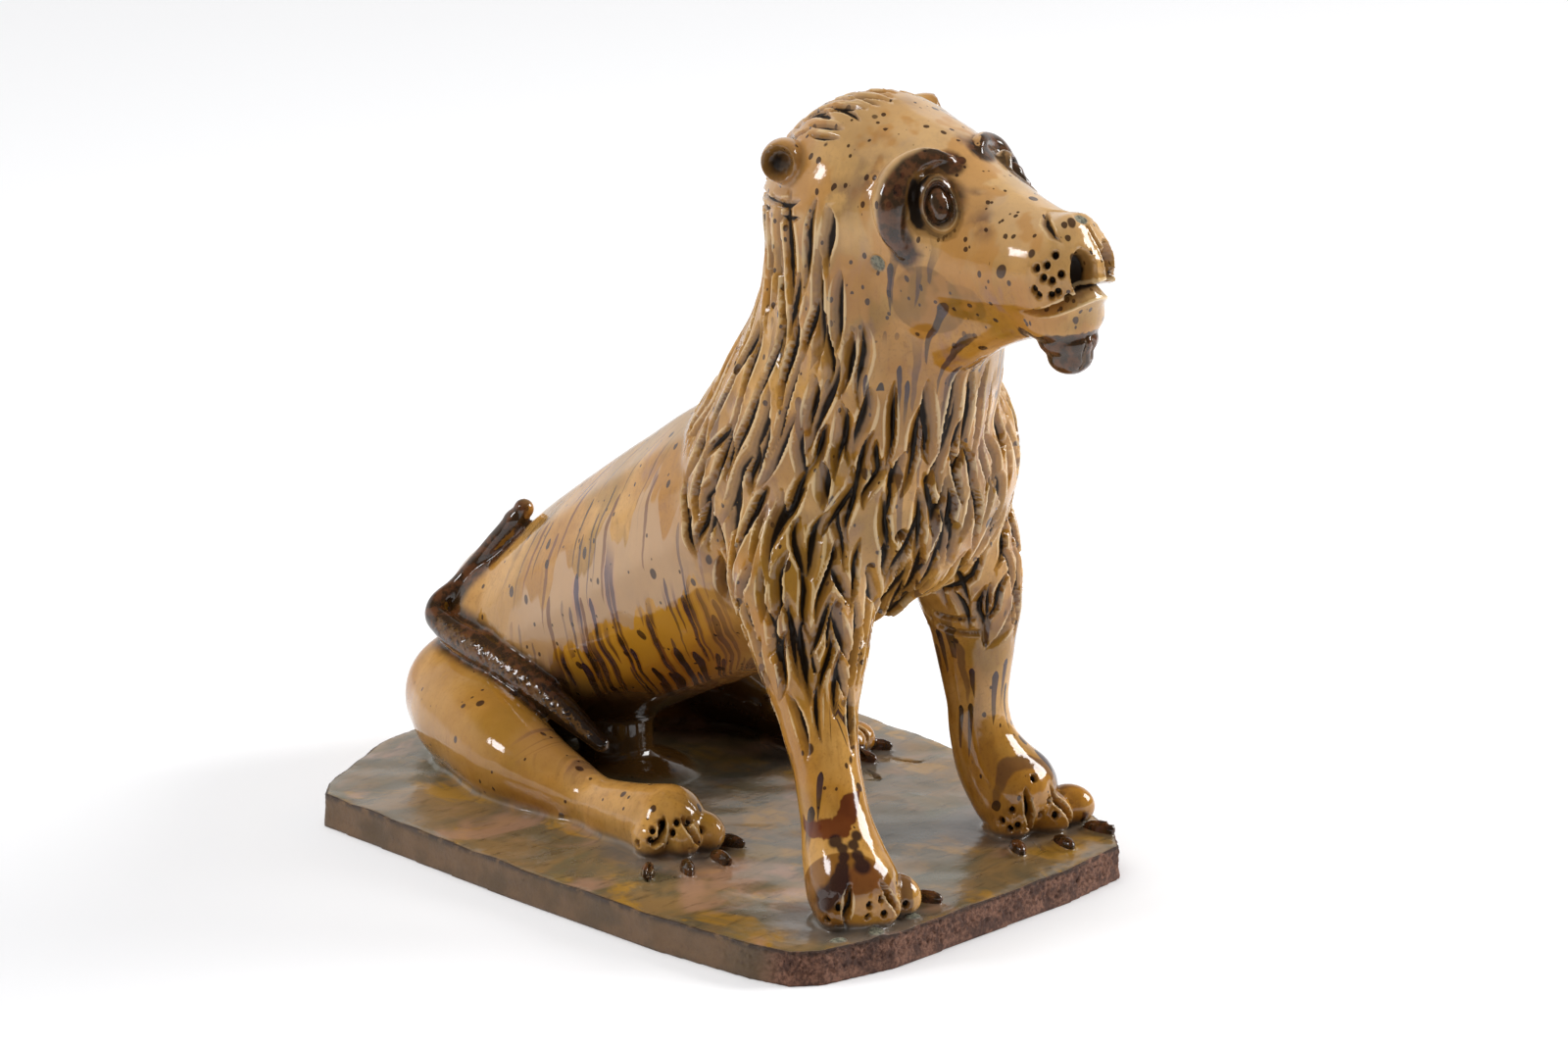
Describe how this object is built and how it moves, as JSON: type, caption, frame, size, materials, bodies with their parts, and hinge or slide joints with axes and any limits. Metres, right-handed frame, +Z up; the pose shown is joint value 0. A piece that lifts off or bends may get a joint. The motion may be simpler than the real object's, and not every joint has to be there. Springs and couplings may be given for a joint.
{
  "type": "pottery lion figure",
  "caption": "Seated glazed earthenware lion on a slab base, gouged mane, tail laid over the haunch, applied ears, eyes and claws.",
  "frame": {"origin": "middle of the slab's flat underside", "axes": "+Z up, the lion looks along -Y, its own right side is towards -X"},
  "size_m": [0.208, 0.3238, 0.2812],
  "materials": {
    "glazed_body": "glossy honey lead glaze over buff slip, with dark brown and purple manganese runs; bare red-brown clay on the slab's edges and underside"
  },
  "bodies": {
    "root": {"lion_figure": "glazed_body"}
  },
  "joints": []
}
